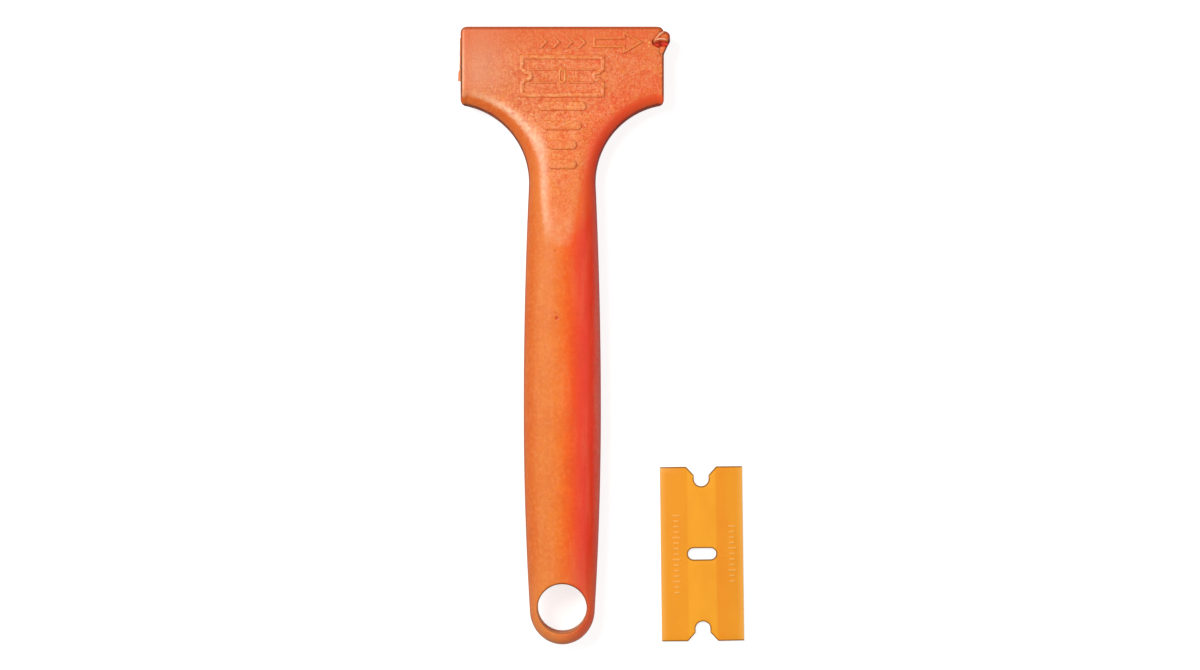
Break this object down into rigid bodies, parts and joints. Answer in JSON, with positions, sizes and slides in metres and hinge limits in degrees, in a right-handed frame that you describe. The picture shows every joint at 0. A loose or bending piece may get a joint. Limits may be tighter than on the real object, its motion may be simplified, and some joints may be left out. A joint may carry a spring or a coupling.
{
  "type": "razor blade scraper",
  "caption": "Moulded scraper handle with a flat T-shaped head, a hang hole and a rear door on a film hinge with a snap hook, and a loose double-edged plastic blade.",
  "frame": {"origin": "middle of the hang hole, half way through the handle's thickness", "axes": "+X to the right, +Y along the handle towards the head, +Z out of the head's front face"},
  "size_m": [0.0624, 0.1341, 0.011],
  "materials": {
    "handle_plastic": "orange moulded polypropylene, finely textured head, satin grip",
    "blade_plastic": "amber hard plastic, smooth"
  },
  "bodies": {
    "handle": {"handle": "handle_plastic", "hinge_film": "handle_plastic"},
    "door": {"blade_door": "handle_plastic"},
    "latch": {"latch_hook": "handle_plastic"},
    "blade": {"blade": "blade_plastic"}
  },
  "joints": [
    {"name": "door_hinge", "type": "hinge", "parent": "handle", "child": "door", "pos_m": [-0.02247, 0.1191, -0.00072], "axis": [0, 1, 0], "range_deg": [0, 180], "deforming": ["hinge_film"]},
    {"name": "latch_flex", "type": "hinge", "parent": "door", "child": "latch", "pos_m": [0.0211, 0.123, -0.00227], "axis": [0, 1, 0], "range_deg": [0, 20], "stiffness_Nm_per_rad": 0.08},
    {"name": "blade_lift", "type": "slide", "parent": "handle", "child": "blade", "axis": [0, 0, 1], "range_m": [0, 0.025]}
  ]
}
